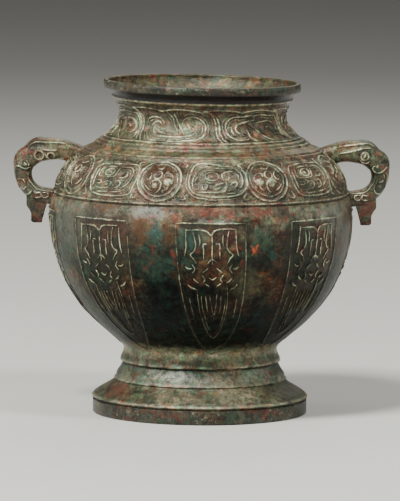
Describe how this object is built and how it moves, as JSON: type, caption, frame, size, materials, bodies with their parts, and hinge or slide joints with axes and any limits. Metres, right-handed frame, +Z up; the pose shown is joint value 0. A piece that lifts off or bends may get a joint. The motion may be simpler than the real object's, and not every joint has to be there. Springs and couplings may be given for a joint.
{
  "type": "bronze vase",
  "caption": "Round-bellied cast vase on a stepped foot, with a flared mouth, bands of thread relief, hanging blades and beast-head loop handles at the sides.",
  "frame": {"origin": "centre of the foot's underside, on the surface that the vase stands on", "axes": "+Z up, +X through the handles, -Y towards the front"},
  "size_m": [0.2716, 0.2206, 0.2412],
  "materials": {
    "bronze": "patinated cast bronze, brown-black with malachite green, cuprite red and pale worn ridges"
  },
  "bodies": {
    "root": {"vase": "bronze"}
  },
  "joints": []
}
